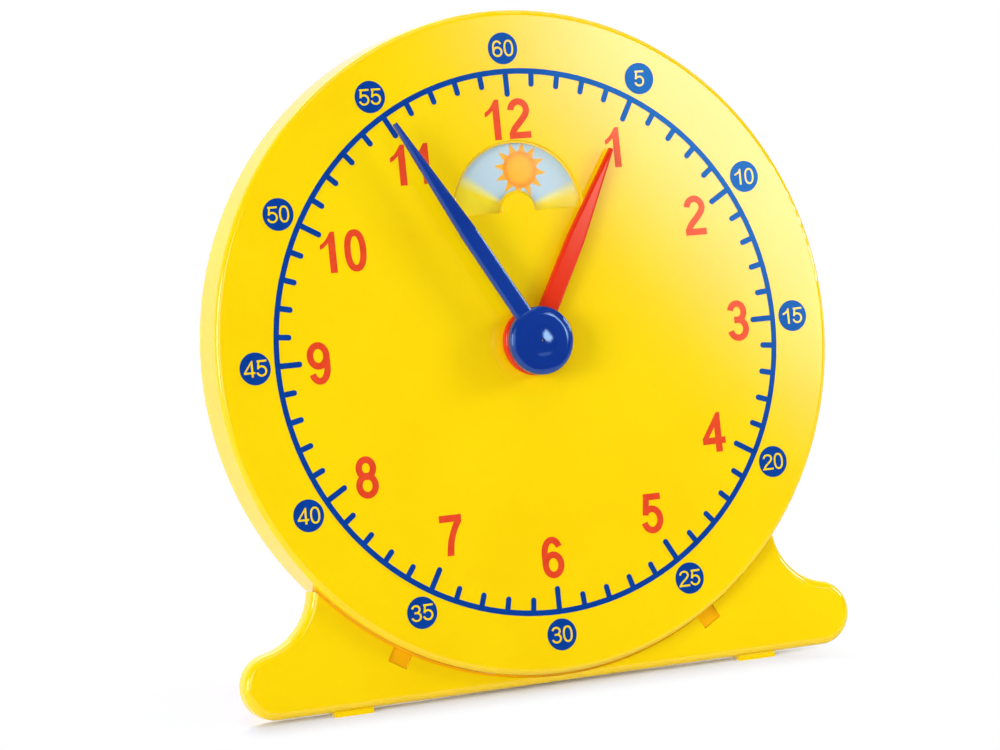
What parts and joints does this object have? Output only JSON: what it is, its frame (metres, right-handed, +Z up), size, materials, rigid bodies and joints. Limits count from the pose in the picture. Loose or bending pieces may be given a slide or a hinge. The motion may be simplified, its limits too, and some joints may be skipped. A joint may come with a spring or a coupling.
{
  "type": "sun and moon demonstration clock",
  "caption": "Round geared teaching clock leaning back in a low stand; the minute hand drives the hour hand and a sun and moon disc behind a half-round window.",
  "frame": {"origin": "on the table under the middle of the clock, at the centre of its box", "axes": "+Z up, +X to the right of someone facing the dial, -Y out of the dial towards that person"},
  "size_m": [0.4004, 0.1242, 0.3978],
  "materials": {
    "yellow_plastic": "glossy moulded",
    "clear_plastic": "clear, polished",
    "blue_print": "screen print",
    "red_print": "screen print",
    "blue_plastic": "glossy moulded",
    "red_plastic": "glossy moulded",
    "natural_plastic": "moulded, unpainted",
    "steel": "plain",
    "sky_print": "printed label",
    "motif_print": "printed label"
  },
  "bodies": {
    "case": {"front_shell": "yellow_plastic", "rear_cover": "yellow_plastic", "cover_screws": "steel", "window_lens": "clear_plastic", "minute_track": "blue_print", "minute_badges": "blue_print", "centre_bush": "natural_plastic", "movement_bridge": "natural_plastic", "bridge_screws": "steel", "intermediate_pin": "steel", "disc_pin": "steel", "friction_washer": "steel", "stand_plate": "yellow_plastic", "left_foot": "yellow_plastic", "right_foot": "yellow_plastic", "foot_screws": "steel"},
    "minute": {"minute_hand": "blue_plastic", "minute_arbor": "steel", "cannon_pinion": "natural_plastic", "arbor_clip": "steel"},
    "hour": {"hour_hand": "red_plastic", "hour_wheel": "natural_plastic"},
    "intermediate": {"intermediate_gear": "natural_plastic"},
    "sky_disc": {"sun_moon_gear": "natural_plastic", "sky_label": "sky_print", "sun_moon_print": "motif_print"}
  },
  "joints": [
    {"name": "minute_hand_turn", "type": "hinge", "parent": "case", "child": "minute", "pos_m": [0, -0.01443, 0.2045], "axis": [0, 0.9703, -0.2419], "continuous": true},
    {"name": "hour_hand_turn", "type": "hinge", "parent": "case", "child": "hour", "pos_m": [0, -0.01443, 0.2045], "axis": [0, 0.9703, -0.2419], "continuous": true},
    {"name": "intermediate_gear_turn", "type": "hinge", "parent": "case", "child": "intermediate", "pos_m": [0.0136, -0.00796, 0.23045], "axis": [0, 0.9703, -0.2419], "continuous": true},
    {"name": "sky_disc_turn", "type": "hinge", "parent": "case", "child": "sky_disc", "pos_m": [0, 0.00468, 0.28115], "axis": [0, 0.9703, -0.2419], "continuous": true}
  ],
  "couplings": [
    {"joint": "hour_hand_turn", "follows": "minute_hand_turn", "ratio": 0.083333},
    {"joint": "intermediate_gear_turn", "follows": "minute_hand_turn", "ratio": -0.33333},
    {"joint": "sky_disc_turn", "follows": "minute_hand_turn", "ratio": 0.041667}
  ]
}
